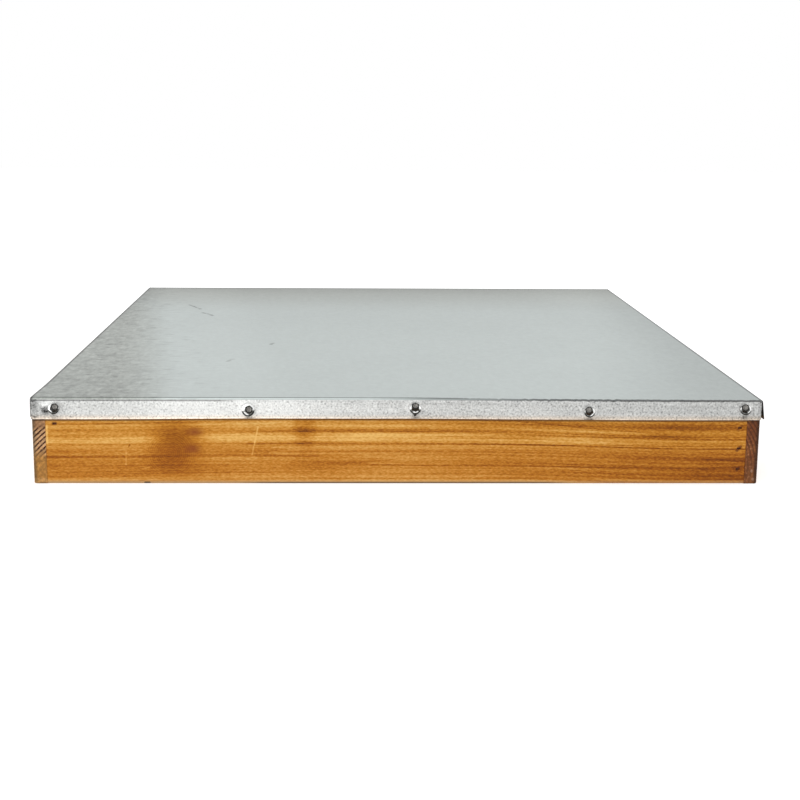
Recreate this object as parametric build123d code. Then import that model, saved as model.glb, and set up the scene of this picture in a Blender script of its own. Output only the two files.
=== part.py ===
from build123d import *

import os
from math import acos, cos, radians, sqrt, tan
from typing import NamedTuple

# Outer cover of a bee hive: a nailed softwood tray under one folded sheet of galvanised steel.
# Millimetres and degrees. +Z is up, the front is at -Y, and the origin is the middle of the
# plane that the rim stands on.

# Rim of four boards, rabbeted at the corners
RIM_WIDTH = 460.0
RIM_LENGTH = 557.0
RIM_HEIGHT = 44.0
SIDE_BOARD_THICKNESS = 20.0
END_BOARD_THICKNESS = 20.0
CORNER_TONGUE = 8.5
CORNER_ROUND = 2.0
FOOT_EASE = 1.6
EDGE_EASE = 0.8
END_EASE = 0.5

# Roof of matched boards that run from front to back
ROOF_BOARD_COUNT = 5
ROOF_THICKNESS = 10.0
ROOF_TONGUE_LENGTH = 4.0
ROOF_TONGUE_THICKNESS = 3.0
ROOF_JOINT_GAP = 0.4
ROOF_JOINT_CLEARANCE = 0.2
ROOF_JOINT_CHAMFER = 1.0

# Battens across the underside of the roof
BATTEN_WIDTH = 32.0
BATTEN_THICKNESS = 10.0
BATTEN_SETBACK = 70.0
BATTEN_END_CLEARANCE = 0.5

# Folded steel sheet
SHEET_THICKNESS = 0.4
SHEET_GAP = 0.2
SHEET_BEND_RADIUS = 1.0
END_SKIRT_DROP = 12.8
SIDE_SKIRT_DROP = 11.8
TAB_LENGTH = 11.0
TAB_RISE = 3.0
TAB_LAP_GAP = 0.15
FLARE_RUN = 48.0
FLARE_REACH = 1.5

# Flat wire nails with a head as thick as the shank
NAIL_THICKNESS = 1.2
NAIL_WIDTH = 1.4
NAIL_HEAD_WIDTH = 2.4
NAIL_HEAD_HEIGHT = 0.9
NAIL_POINT_LENGTH = 2.2
NAIL_CLEARANCE = 0.05

# Corner nails: the right corners are nailed from the end, the left ones from the side as well
CORNER_NAIL_LENGTH = 38.0
CORNER_NAIL_SINK = 1.0
CORNER_NAIL_COUNT = 3
CORNER_NAIL_FROM_JOINT = 4.5
CORNER_NAIL_BELOW_TOP = 7.4
CORNER_NAIL_ABOVE_FOOT = 9.8
TOP_NAIL_BELOW_TOP = 5.1
TOP_NAIL_FROM_JOINT = 5.8
SIDE_DRIVEN_NAIL_COUNT = 2

# Roof nails
ROOF_NAIL_LENGTH = 28.0
ROOF_NAIL_SINK = 0.3
ROOF_NAIL_FROM_JOINT = 22.0
ROOF_NAIL_FROM_FACE = 14.0
SIDE_NAIL_COUNT = 4
SIDE_NAIL_FROM_END = 95.0
BATTEN_NAIL_LENGTH = 17.0

# Hex flange screws through the front and back skirts
SCREW_SHANK = 3.5
SCREW_LENGTH = 13.0
SCREW_POINT_LENGTH = 4.0
SCREW_CLEARANCE = 0.05
SCREW_FLANGE = 6.8
SCREW_FLANGE_EDGE = 0.5
SCREW_FLANGE_HEIGHT = 1.0
SCREW_HEX = 4.6
SCREW_HEAD_HEIGHT = 4.2
SCREW_HEX_CHAMFER = 30.0
SCREW_CROWN = 4.3
SCREW_DISH = 2.8
SCREW_DISH_DEPTH = 0.5
SCREW_SEAT_CLEARANCE = 0.02
SCREW_TURN_ANGLE = 17.0
SCREW_DROP_SHARE = 0.6
SCREW_RISE_ANGLE = 28.0
SCREW_FROM_CORNER = 11.0
BACK_SCREW_COUNT = 5


class Drive(NamedTuple):
    """How one screw was driven: its shift along the edge as a share of the even spacing, its hole's
    drop from the sheet's top as a share of the skirt, and how far its head leans up and along."""

    shift: float = 0.0
    drop: float = SCREW_DROP_SHARE
    rise: float = SCREW_RISE_ANGLE
    swing: float = 0.0


# The front row was driven by hand, each screw at its own lean
FRONT_DRIVES = [
    Drive(shift=0.027, drop=0.56, rise=31.0, swing=26.0),
    Drive(shift=0.138, drop=0.53, rise=18.0, swing=12.0),
    Drive(shift=0.095, drop=0.62, rise=45.0),
    Drive(shift=0.105, drop=0.72, rise=36.0, swing=-20.0),
    Drive(shift=0.005, drop=0.58, rise=35.0, swing=-20.0),
]
BACK_DRIVES = [Drive()] * BACK_SCREW_COUNT

# Levels and outlines that follow from the sizes above
ROOF_TOP = RIM_HEIGHT + ROOF_THICKNESS
SHEET_TOP = ROOF_TOP + SHEET_THICKNESS
SKIRT_STANDOFF = SHEET_GAP + SHEET_THICKNESS
END_SKIRT_WIDTH = RIM_WIDTH + 2 * SKIRT_STANDOFF
SHEET_WIDTH = END_SKIRT_WIDTH + 2 * (TAB_LAP_GAP + SHEET_THICKNESS)
SHEET_LENGTH = RIM_LENGTH + 2 * SKIRT_STANDOFF
SHEET_OUTER_RADIUS = SHEET_BEND_RADIUS + SHEET_THICKNESS
TAB_OUTER_RADIUS = CORNER_ROUND + SHEET_THICKNESS
INNER_WIDTH = RIM_WIDTH - 2 * SIDE_BOARD_THICKNESS
INNER_LENGTH = RIM_LENGTH - 2 * END_BOARD_THICKNESS
SHOULDER = SIDE_BOARD_THICKNESS - CORNER_TONGUE
ROOF_PITCH = RIM_WIDTH / ROOF_BOARD_COUNT

# The front and back edges as planes on the skirt's outer face: x runs along the edge, y is up
# and z points out, with the origin at the sheet's top in the middle of the edge.
FRONT_EDGE = Plane((0, -SHEET_LENGTH / 2, SHEET_TOP), x_dir=(1, 0, 0), z_dir=(0, -1, 0))
BACK_EDGE = Plane((0, SHEET_LENGTH / 2, SHEET_TOP), x_dir=(-1, 0, 0), z_dir=(0, 1, 0))


def evenly_spaced(count, first, last):
    """Places of a row of things from first to last."""
    step = (last - first) / (count - 1)
    return [first + step * i for i in range(count)]


def boxes_meet(a, b):
    """Whether two bounding boxes overlap."""
    apart_x = a.max.X < b.min.X or b.max.X < a.min.X
    apart_y = a.max.Y < b.min.Y or b.max.Y < a.min.Y
    apart_z = a.max.Z < b.min.Z or b.max.Z < a.min.Z
    return not (apart_x or apart_y or apart_z)


def bored(piece, holes):
    """A piece with the holes that reach it cut away."""
    room = piece.bounding_box()
    reaching = [hole for hole in holes if boxes_meet(room, hole.bounding_box())]
    return piece - reaching if reaching else piece


def turned(piece, facing):
    """A piece as made for the back or right (+1), or turned half round for the front or left (-1)."""
    return piece if facing > 0 else Rot(Z=180) * piece


# Wooden pieces


def toward_foot(corners):
    """Corners of a board's upright section, with the outer lower one last."""
    return sorted(corners, key=lambda corner: corner.X - corner.Y)


def end_board(facing):
    """Front (-1) or back (+1) rim board, which sits in the rabbets of the side boards."""
    section = Pos(0, RIM_HEIGHT / 2) * Rectangle(END_BOARD_THICKNESS, RIM_HEIGHT)
    section = fillet(toward_foot(section.vertices())[:-1], EDGE_EASE)
    section = fillet(toward_foot(section.vertices())[-1], FOOT_EASE)
    board = extrude(Plane.YZ * section, RIM_WIDTH / 2 - CORNER_TONGUE, both=True)
    board = fillet(board.faces().filter_by(Axis.X).edges(), END_EASE)
    board = Pos(0, (RIM_LENGTH - END_BOARD_THICKNESS) / 2, 0) * board
    return turned(board, facing)


def side_board(facing):
    """Left (-1) or right (+1) rim board, rabbeted at both ends so that its end grain shows."""
    plan = Rectangle(SIDE_BOARD_THICKNESS, RIM_LENGTH)
    rabbet = Rectangle(SHOULDER, END_BOARD_THICKNESS)
    for end in (-1, 1):
        plan -= Pos(-CORNER_TONGUE / 2, end * (RIM_LENGTH - END_BOARD_THICKNESS) / 2) * rabbet
    plan = fillet(plan.vertices().group_by(Axis.X)[-1], CORNER_ROUND)
    board = extrude(plan, RIM_HEIGHT)
    for edge in (0, -1):
        board = fillet(board.edges().filter_by(Axis.Y).group_by(Axis.Z)[0].sort_by(Axis.X)[edge], EDGE_EASE)
    board = Pos((RIM_WIDTH - SIDE_BOARD_THICKNESS) / 2, 0, 0) * board
    return turned(board, facing)


def roof_board(index):
    """One matched board: groove on its left edge, tongue on its right, plain at the outside."""
    first = index == 0
    last = index == ROOF_BOARD_COUNT - 1
    left = index * ROOF_PITCH + (0 if first else ROOF_JOINT_GAP / 2)
    right = (index + 1) * ROOF_PITCH - (0 if last else ROOF_JOINT_GAP / 2)
    width = right - left

    section = Rectangle(width, ROOF_THICKNESS)
    section = chamfer(section.vertices().group_by(Axis.Y)[0], ROOF_JOINT_CHAMFER)
    if not last:
        tongue = Rectangle(ROOF_TONGUE_LENGTH, ROOF_TONGUE_THICKNESS)
        section += Pos((width + ROOF_TONGUE_LENGTH) / 2, 0) * tongue
    if not first:
        depth = ROOF_TONGUE_LENGTH - ROOF_JOINT_GAP + ROOF_JOINT_CLEARANCE
        groove = Rectangle(depth, ROOF_TONGUE_THICKNESS + 2 * ROOF_JOINT_CLEARANCE)
        section -= Pos((depth - width) / 2, 0) * groove
    board = extrude(Plane.XZ * section, RIM_LENGTH / 2, both=True)

    if first or last:
        outside = board.edges().filter_by(Axis.Z).group_by(Axis.X)[0 if first else -1]
        board = fillet(outside, CORNER_ROUND)
    top_edges = board.faces().sort_by(Axis.Z)[-1].edges()
    joints = top_edges.filter_by(Axis.Y).sort_by(Axis.X)
    plain = joints[1:] if first else joints[:1] if last else joints
    board = fillet([edge for edge in top_edges if edge not in plain], SHEET_BEND_RADIUS)
    middle = (left + right - RIM_WIDTH) / 2
    return Pos(middle, 0, RIM_HEIGHT + ROOF_THICKNESS / 2) * board


def batten_place(facing):
    """Middle line of the front (-1) or back (+1) batten."""
    return facing * (INNER_LENGTH / 2 - BATTEN_SETBACK - BATTEN_WIDTH / 2)


def batten(facing):
    """Cross batten under the roof boards."""
    strip = Box(INNER_WIDTH - 2 * BATTEN_END_CLEARANCE, BATTEN_WIDTH, BATTEN_THICKNESS)
    strip = fillet(strip.edges(), EDGE_EASE)
    return Pos(0, batten_place(facing), RIM_HEIGHT - BATTEN_THICKNESS / 2) * strip


# Nails


def nail_outline(length, rise=0.0, spare=0.0):
    """Side of a nail that points down from z = 0; a hole is the same with spare room all round
    and a head that rises to the surface."""
    head = NAIL_HEAD_WIDTH / 2 + spare
    shank = NAIL_WIDTH / 2 + spare
    under = -NAIL_HEAD_HEIGHT - spare
    tip = -length - spare
    return Polygon(
        (-head, under),
        (-shank, under),
        (-shank, tip + NAIL_POINT_LENGTH),
        (0, tip),
        (shank, tip + NAIL_POINT_LENGTH),
        (shank, under),
        (head, under),
        (head, rise + spare),
        (-head, rise + spare),
    )


def nail(length):
    """A nail with the top of its head at the origin."""
    return extrude(Plane.XZ * nail_outline(length), NAIL_THICKNESS / 2, both=True)


def nail_hole(length, sink):
    """The room that a nail takes in the wood, up to the surface above its sunk head."""
    outline = nail_outline(length, sink, NAIL_CLEARANCE)
    return extrude(Plane.XZ * outline, NAIL_THICKNESS / 2 + NAIL_CLEARANCE, both=True)


def nailed(places, length, sink):
    """Nails and their holes at places whose z points out of the wood's surface."""
    nails = [place * Pos(0, 0, -sink) * nail(length) for place in places]
    holes = [place * Pos(0, 0, -sink) * nail_hole(length, sink) for place in places]
    return nails, holes


def corner_heights(count):
    """Heights of the nails in a corner, evenly spaced up the rim."""
    return evenly_spaced(count, CORNER_NAIL_ABOVE_FOOT, RIM_HEIGHT - CORNER_NAIL_BELOW_TOP)


def right_corner(end):
    """Nails through the front (-1) or back (+1) board into the right board's shoulder."""
    x = RIM_WIDTH / 2 - CORNER_TONGUE - CORNER_NAIL_FROM_JOINT
    out = Rot(X=-90 * end)
    places = [Pos(x, end * RIM_LENGTH / 2, z) * out for z in corner_heights(CORNER_NAIL_COUNT)]
    return nailed(places, CORNER_NAIL_LENGTH, CORNER_NAIL_SINK)


def left_corner(end):
    """One nail near the top as on the right, and the rest through the left board's tongue into
    the end of the front (-1) or back (+1) board."""
    top_x = -RIM_WIDTH / 2 + CORNER_TONGUE + TOP_NAIL_FROM_JOINT
    top_z = RIM_HEIGHT - TOP_NAIL_BELOW_TOP
    places = [Pos(top_x, end * RIM_LENGTH / 2, top_z) * Rot(X=-90 * end)]
    side_y = end * (RIM_LENGTH - END_BOARD_THICKNESS) / 2
    for z in corner_heights(SIDE_DRIVEN_NAIL_COUNT):
        places.append(Pos(-RIM_WIDTH / 2, side_y, z) * Rot(Z=-90) * Rot(X=90))
    return nailed(places, CORNER_NAIL_LENGTH, CORNER_NAIL_SINK)


def roof_nails(y, length):
    """Two nails in each roof board along a line across the roof."""
    places = []
    for index in range(ROOF_BOARD_COUNT):
        joint = index * ROOF_PITCH - RIM_WIDTH / 2
        for x in (joint + ROOF_NAIL_FROM_JOINT, joint + ROOF_PITCH - ROOF_NAIL_FROM_JOINT):
            places.append(Pos(x, y, ROOF_TOP))
    return nailed(places, length, ROOF_NAIL_SINK)


def side_nails(side):
    """Nails through the outer roof board along the left (-1) or right (+1) board."""
    x = side * (RIM_WIDTH / 2 - ROOF_NAIL_FROM_FACE)
    end = RIM_LENGTH / 2 - SIDE_NAIL_FROM_END
    along = Rot(Z=90)
    places = [Pos(x, y, ROOF_TOP) * along for y in evenly_spaced(SIDE_NAIL_COUNT, -end, end)]
    return nailed(places, ROOF_NAIL_LENGTH, ROOF_NAIL_SINK)


# Screws


def screw_shank(spare=0.0):
    """Shank and point below the flange; a bore is the same with spare room all round."""
    radius = SCREW_SHANK / 2 + spare
    tip = -SCREW_LENGTH - spare
    side = Polygon((0, 0), (0, tip), (radius, tip + SCREW_POINT_LENGTH), (radius, 0))
    return revolve(Plane.XZ * side)


def screw():
    """A screw whose flange seats at the origin and whose head points along +Z."""
    flange_side = Polygon(
        (0, 0),
        (SCREW_FLANGE / 2, 0),
        (SCREW_FLANGE / 2, SCREW_FLANGE_EDGE),
        (SCREW_HEX / 2, SCREW_FLANGE_HEIGHT),
        (0, SCREW_FLANGE_HEIGHT),
    )
    corner = SCREW_HEX / sqrt(3)
    shoulder = SCREW_HEAD_HEIGHT - (corner - SCREW_CROWN / 2) * tan(radians(SCREW_HEX_CHAMFER))
    crown_side = Polygon(
        (0, 0),
        (corner, 0),
        (corner, shoulder),
        (SCREW_CROWN / 2, SCREW_HEAD_HEIGHT),
        (SCREW_DISH / 2, SCREW_HEAD_HEIGHT),
        (0, SCREW_HEAD_HEIGHT - SCREW_DISH_DEPTH),
    )
    hexagon = extrude(RegularPolygon(SCREW_HEX / 2, 6, major_radius=False), SCREW_HEAD_HEIGHT)
    head = hexagon & revolve(Plane.XZ * crown_side)
    return screw_shank() + revolve(Plane.XZ * flange_side) + head


def screwed(edge, drives):
    """A row of screws and their bores; each leaning flange touches the skirt with its near rim."""
    one_screw = screw()
    one_bore = screw_shank(SCREW_CLEARANCE)
    reach = END_SKIRT_WIDTH / 2 - SCREW_FROM_CORNER
    spacing = 2 * reach / (len(drives) - 1)
    screws = []
    bores = []
    for index, drive in enumerate(drives):
        along = spacing * (index + drive.shift) - reach
        lean = acos(cos(radians(drive.rise)) * cos(radians(drive.swing)))
        standoff = SCREW_FLANGE / 2 * tan(lean) + SCREW_SEAT_CLEARANCE
        hole = Pos(along, -drive.drop * END_SKIRT_DROP, 0)
        axis = Rot(Y=drive.swing) * Rot(X=-drive.rise)
        seat = Pos(0, 0, standoff) * Rot(Z=index * SCREW_TURN_ANGLE)
        place = edge.location * hole * axis * seat
        screws.append(place * one_screw)
        bores.append(place * one_bore)
    return screws, bores


# Folded sheet


def folded_channel(span, drop, run):
    """A strip of sheet folded down at both ends of its span, with its top at z = 0."""
    outer = Pos(0, -drop / 2) * Rectangle(span, drop)
    outer = fillet(outer.vertices().group_by(Axis.Y)[-1], SHEET_OUTER_RADIUS)
    inner_span = span - 2 * SHEET_THICKNESS
    inner = Pos(0, -SHEET_THICKNESS - drop / 2) * Rectangle(inner_span, drop)
    inner = fillet(inner.vertices().group_by(Axis.Y)[-1], SHEET_BEND_RADIUS)
    return extrude(Plane.XZ * (outer - inner), run / 2, both=True)


def rounded_plan(width, length, radius):
    """A rectangle with rounded corners."""
    plan = Rectangle(width, length)
    return fillet(plan.vertices(), radius)


def end_skirt(facing):
    """Flat of the front (-1) or back (+1) skirt, with tabs that wrap both corners of the rim and
    are snipped to a slant so that the side skirts hide them."""
    wall = 2 * SHEET_THICKNESS
    ring = rounded_plan(END_SKIRT_WIDTH, SHEET_LENGTH, TAB_OUTER_RADIUS)
    ring -= rounded_plan(END_SKIRT_WIDTH - wall, SHEET_LENGTH - wall, CORNER_ROUND)
    strip = Rectangle(END_SKIRT_WIDTH, TAB_LENGTH)
    plan = ring & Pos(0, -(SHEET_LENGTH - TAB_LENGTH) / 2) * strip
    skirt = Pos(0, 0, -END_SKIRT_DROP) * extrude(plan, END_SKIRT_DROP - SHEET_OUTER_RADIUS)

    free_end = TAB_LENGTH - SHEET_LENGTH / 2
    bend_end = TAB_OUTER_RADIUS - SHEET_LENGTH / 2
    slant = Polygon(
        (bend_end, -END_SKIRT_DROP),
        (free_end, -END_SKIRT_DROP),
        (free_end, TAB_RISE - END_SKIRT_DROP),
    )
    skirt -= extrude(Plane.YZ * slant, END_SKIRT_WIDTH, both=True)
    return turned(skirt, -facing)


def skirt_section(reach):
    """Section of the right skirt below its bend, with its lower edge pushed out by reach."""
    outer = SHEET_WIDTH / 2
    inner = outer - SHEET_THICKNESS
    return Polygon(
        (inner, -SHEET_OUTER_RADIUS),
        (inner + reach, -SIDE_SKIRT_DROP),
        (outer + reach, -SIDE_SKIRT_DROP),
        (outer, -SHEET_OUTER_RADIUS),
    )


def steel_sheet():
    """The blank is slit at its corners, so each skirt folds down by itself; the right skirt has
    sprung away from the wood at its front end."""
    end_run = END_SKIRT_WIDTH - 2 * TAB_OUTER_RADIUS
    side_run = SHEET_LENGTH - 2 * SHEET_OUTER_RADIUS
    ends = Rot(Z=90) * folded_channel(SHEET_LENGTH, END_SKIRT_DROP, end_run)
    sides = folded_channel(SHEET_WIDTH, SIDE_SKIRT_DROP, side_run)
    sheet = ends + sides + end_skirt(-1) + end_skirt(1)

    tip = Plane.XZ.offset(side_run / 2)
    root = Plane.XZ.offset(side_run / 2 - FLARE_RUN)
    straight = loft([root * skirt_section(0), tip * skirt_section(0)], ruled=True)
    sprung = loft([root * skirt_section(0), tip * skirt_section(FLARE_REACH)], ruled=True)
    return Pos(0, 0, SHEET_TOP) * (sheet - straight + sprung)


def cover():
    """Every piece of the cover by its name."""
    roof_line = RIM_LENGTH / 2 - ROOF_NAIL_FROM_FACE
    fastened = {
        "front_left_corner_nails": left_corner(-1),
        "front_right_corner_nails": right_corner(-1),
        "back_left_corner_nails": left_corner(1),
        "back_right_corner_nails": right_corner(1),
        "front_roof_nails": roof_nails(-roof_line, ROOF_NAIL_LENGTH),
        "back_roof_nails": roof_nails(roof_line, ROOF_NAIL_LENGTH),
        "left_roof_nails": side_nails(-1),
        "right_roof_nails": side_nails(1),
        "front_batten_nails": roof_nails(batten_place(-1), BATTEN_NAIL_LENGTH),
        "back_batten_nails": roof_nails(batten_place(1), BATTEN_NAIL_LENGTH),
        "front_screws": screwed(FRONT_EDGE, FRONT_DRIVES),
        "back_screws": screwed(BACK_EDGE, BACK_DRIVES),
    }
    whole = {
        "front_board": end_board(-1),
        "back_board": end_board(1),
        "left_board": side_board(-1),
        "right_board": side_board(1),
        "front_batten": batten(-1),
        "back_batten": batten(1),
        "steel_sheet": steel_sheet(),
    }
    for index in range(ROOF_BOARD_COUNT):
        whole[f"roof_board_{index + 1}"] = roof_board(index)

    holes = [hole for _, row in fastened.values() for hole in row]
    pieces = {name: bored(piece, holes) for name, piece in whole.items()}
    for name, (row, _) in fastened.items():
        pieces[name] = Compound(children=row)
    return pieces


os.makedirs("parts", exist_ok=True)
for name, piece in cover().items():
    export_step(piece, f"parts/{name}.step")
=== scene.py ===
import math

import bpy
from mathutils import Matrix, Vector
from mathutils import noise as perlin


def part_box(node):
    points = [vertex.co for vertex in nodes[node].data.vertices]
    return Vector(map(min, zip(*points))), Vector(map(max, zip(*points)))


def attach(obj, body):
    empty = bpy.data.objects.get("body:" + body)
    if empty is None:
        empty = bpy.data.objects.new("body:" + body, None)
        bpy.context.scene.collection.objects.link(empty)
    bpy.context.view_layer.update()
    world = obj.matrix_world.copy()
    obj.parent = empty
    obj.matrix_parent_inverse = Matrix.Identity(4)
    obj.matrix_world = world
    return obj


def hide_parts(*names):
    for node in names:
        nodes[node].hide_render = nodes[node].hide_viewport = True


# Looks of a hive's outer cover: waxed fir boards under one folded sheet of galvanised steel.
# Metres; the front is at -Y and the cover stands on z = 0. Places of marks are (x, z) on the front
# and (x, y) on the top.

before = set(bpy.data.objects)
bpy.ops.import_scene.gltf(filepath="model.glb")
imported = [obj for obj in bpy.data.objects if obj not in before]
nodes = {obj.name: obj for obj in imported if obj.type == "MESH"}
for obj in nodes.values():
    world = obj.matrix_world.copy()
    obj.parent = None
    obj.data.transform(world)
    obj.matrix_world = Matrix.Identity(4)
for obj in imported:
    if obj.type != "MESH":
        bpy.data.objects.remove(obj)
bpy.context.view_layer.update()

MM = 0.001


def srgb(red, green, blue):
    """Linear colour of an 8-bit display colour."""
    def linear(value):
        value /= 255
        return value / 12.92 if value <= 0.04045 else ((value + 0.055) / 1.055) ** 2.4
    return (linear(red), linear(green), linear(blue), 1.0)


def smooth(low, high, value):
    """0 at low, 1 at high, with soft ends; low may lie above high."""
    t = min(max((value - low) / (high - low), 0.0), 1.0)
    return t * t * (3 - 2 * t)


def spread(low, high, count):
    """Evenly spaced numbers from low to high."""
    return [low + (high - low) * i / (count - 1) for i in range(count)]


def mean(points):
    return sum(points, Vector()) / len(points)


def islands(name):
    """Separate solids of a CAD node, each as a list of its points."""
    mesh = nodes[name].data
    parent = list(range(len(mesh.vertices)))

    def root(i):
        while parent[i] != i:
            parent[i] = parent[parent[i]]
            i = parent[i]
        return i

    places = {}
    for vertex in mesh.vertices:
        key = tuple(round(c, 6) for c in vertex.co)
        parent[root(vertex.index)] = root(places.setdefault(key, vertex.index))
    for edge in mesh.edges:
        a, b = edge.vertices
        parent[root(a)] = root(b)
    groups = {}
    for vertex in mesh.vertices:
        groups.setdefault(root(vertex.index), []).append(vertex.co.copy())
    return list(groups.values())


def new_mesh(name, points, faces):
    mesh = bpy.data.meshes.new(name)
    mesh.from_pydata(points, [], faces)
    return mesh


def in_scene(name, data):
    """A new object that shows some data."""
    item = bpy.data.objects.new(name, data)
    bpy.context.scene.collection.objects.link(item)
    return item


def soften(mesh, angle):
    """Smooth shading, but for edges whose faces meet at more than an angle in degrees."""
    mesh.polygons.foreach_set("use_smooth", [True] * len(mesh.polygons))
    mesh.set_sharp_from_angle(angle=math.radians(angle))


# Materials as formulas: a Field is a number that varies over a surface


def math_method(operation):
    """A method that works on a field, and on another value where the operation needs one."""
    return lambda self, *others: self.tree.math(operation, self, *others)


class Field:
    def __init__(self, tree, socket):
        self.tree = tree
        self.socket = socket

    __add__ = __radd__ = math_method("ADD")
    __mul__ = __rmul__ = math_method("MULTIPLY")
    __sub__ = math_method("SUBTRACT")
    __truediv__ = math_method("DIVIDE")
    __pow__ = math_method("POWER")
    __abs__ = math_method("ABSOLUTE")
    root = math_method("SQRT")
    fraction = math_method("FRACT")
    at_most = math_method("MINIMUM")
    at_least = math_method("MAXIMUM")

    def __rsub__(self, other):
        return self.tree.math("SUBTRACT", other, self)

    def step(self, low, high):
        """0 at low, 1 at high, with soft ends; low may lie above high."""
        return self.tree.field("ShaderNodeMapRange", {0: self, 1: low, 2: high},
                               interpolation_type="SMOOTHSTEP")

    def band(self, centre, half, soft):
        """1 within half of a centre, fading over soft."""
        return abs(self - centre).step(half + soft, half)


class Tree:
    """Shader nodes put together from formulas."""

    def __init__(self, node_tree):
        self.nodes = node_tree.nodes
        self.links = node_tree.links
        self.nodes.clear()

    def add(self, kind, inputs=None, **settings):
        """A new node with its settings made and its inputs fed by number or name."""
        node = self.nodes.new(kind)
        for name, value in settings.items():
            setattr(node, name, value)
        for socket, value in (inputs or {}).items():
            self.feed(node.inputs[socket], value)
        return node

    def feed(self, socket, value):
        """Links a field or an output to a socket, or sets the socket's own value."""
        if isinstance(value, Field):
            value = value.socket
        if isinstance(value, bpy.types.NodeSocket):
            self.links.new(value, socket)
        else:
            socket.default_value = value

    def field(self, kind, inputs=None, output=0, **settings):
        return Field(self, self.add(kind, inputs, **settings).outputs[output])

    def math(self, operation, *values):
        return self.field("ShaderNodeMath", dict(enumerate(values)), operation=operation)


class Graph(Tree):
    """The nodes of one material."""

    def __init__(self, name):
        self.material = bpy.data.materials.new(name)
        self.material.use_nodes = True
        super().__init__(self.material.node_tree)
        self.place = self.add("ShaderNodeTexCoord").outputs["Object"]
        self.x, self.y, self.z = self.parts(self.place)
        self.facing = self.parts(self.add("ShaderNodeNewGeometry").outputs["Normal"])

    def parts(self, vector):
        split = self.add("ShaderNodeSeparateXYZ", {0: vector})
        return [Field(self, out) for out in split.outputs]

    def scaled(self, scale, seed):
        """The place, stretched on each axis and shifted by a seed."""
        shift = (seed * 1.7, seed * 2.3, seed * 0.9)
        node = self.add("ShaderNodeVectorMath", {0: self.place, 1: scale, 2: shift},
                        operation="MULTIPLY_ADD")
        return node.outputs[0]

    def noise(self, scale, seed=0.0, detail=2.0, roughness=0.5):
        """Cloudy noise about 0.5 with so many lumps to the metre on each axis."""
        return self.field("ShaderNodeTexNoise", {
            "Vector": self.scaled(scale, seed),
            "Scale": 1.0, "Detail": detail, "Roughness": roughness})

    def cells(self, scale):
        """A random number from 0 to 1 for each cell of a crystal pattern."""
        crystals = self.add("ShaderNodeTexVoronoi", {"Vector": self.scaled(scale, 0.0), "Scale": 1.0})
        return self.field("ShaderNodeSeparateColor", {0: crystals.outputs["Color"]})

    def mark(self, name):
        """A number kept at the points of a mesh."""
        return self.field("ShaderNodeAttribute", output="Fac", attribute_name=name)

    def stroke(self, u, v, start, end, width):
        """1 on a line drawn over two fields, fading to its width."""
        run = (end[0] - start[0], end[1] - start[1])
        length = math.hypot(*run)
        along = (u - start[0]) * (run[0] / length) + (v - start[1]) * (run[1] / length)
        across = (u - start[0]) * (run[1] / length) - (v - start[1]) * (run[0] / length)
        beyond = abs(along - length / 2) - length / 2
        return (beyond.at_least(0.0) ** 2 + across ** 2).root().step(width, 0.3 * width)

    def patch(self, u, v, centre, reach):
        """Distance from a centre, counted in its reach on both fields."""
        return (((u - centre[0]) / reach[0]) ** 2 + ((v - centre[1]) / reach[1]) ** 2).root()

    def mix(self, share, first, second):
        """A colour between two, through the colour sockets of a mix node."""
        node = self.add("ShaderNodeMix", {0: share, 6: first, 7: second}, data_type="RGBA")
        return node.outputs[2]

    def ramp(self, field, stops):
        node = self.add("ShaderNodeValToRGB", {0: field})
        marks = node.color_ramp.elements
        while len(marks) < len(stops):
            marks.new(0.5)
        for mark, (place, colour) in zip(marks, stops):
            mark.position = place
            mark.color = colour
        return node.outputs[0]

    def shade(self, colour, factor):
        """A colour times a field."""
        node = self.add("ShaderNodeVectorMath", {0: colour, "Scale": factor}, operation="SCALE")
        return node.outputs[0]

    def surface(self, colour, roughness, relief, depth, **others):
        """Ends the material in a shader with a fine relief of some depth."""
        shader = self.add("ShaderNodeBsdfPrincipled", {"Base Color": colour, "Roughness": roughness})
        for name, value in others.items():
            self.feed(shader.inputs[name.replace("_", " ")], value)
        bump = self.add("ShaderNodeBump", {"Height": relief, "Distance": depth, "Strength": 1.0})
        self.feed(shader.inputs["Normal"], bump.outputs[0])
        self.add("ShaderNodeOutputMaterial", {"Surface": shader.outputs[0]})
        return self.material


# Sizes of the folded sheet

sheet_low, sheet_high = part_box("steel_sheet")
HALF_WIDTH = -sheet_low.x
HALF_LENGTH = sheet_high.y
SHEET_TOP = sheet_high.z
END_FOOT = sheet_low.z
SIDE_FOOT = END_FOOT + 1.0 * MM
THICKNESS = 0.4 * MM
BEND = 1.4 * MM
TOP_COLUMNS = 161
TOP_ROWS = 81

# Rise of the loose top and its ripples, whole within these shares of its half sizes
DOME_RISE = 0.45 * MM
DOME_RIPPLE = 0.35 * MM
DOME_WIDTH = 0.72
DOME_LENGTH = 0.78

# Where the end folds begin to turn, in from the skirt's face, and how far down they end
TURN_DEPTH = 0.9 * MM
TURN_DROP = 1.2 * MM

# How far the end skirts stand off, away from the screws that hold them and at their lip
HELD_REACH = 3 * MM
LOOSE_REACH = 32 * MM
LOOSE_PUSH = 0.30 * MM
LOOSE_RIPPLE = 0.25 * MM
LIP_PUSH = 0.4 * MM
LIP_HEIGHT = 0.9 * MM

# Tabs that wrap the corners under the side skirts
TAB_GAP = 0.15 * MM
TAB_BEND = 2.4 * MM
TAB_LENGTH = 11 * MM
TAB_RISE = 3 * MM
END_HALF = HALF_WIDTH - THICKNESS - TAB_GAP
END_REACH = END_HALF - TAB_BEND

# Cut edge of the end skirts, which bows up a little left of the middle
FOOT_LIFT = 0.28 * MM
FOOT_BOW = 0.72 * MM
BOW_PLACE = -35 * MM
BOW_CORE = 30 * MM
BOW_RUN = 170 * MM

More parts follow.
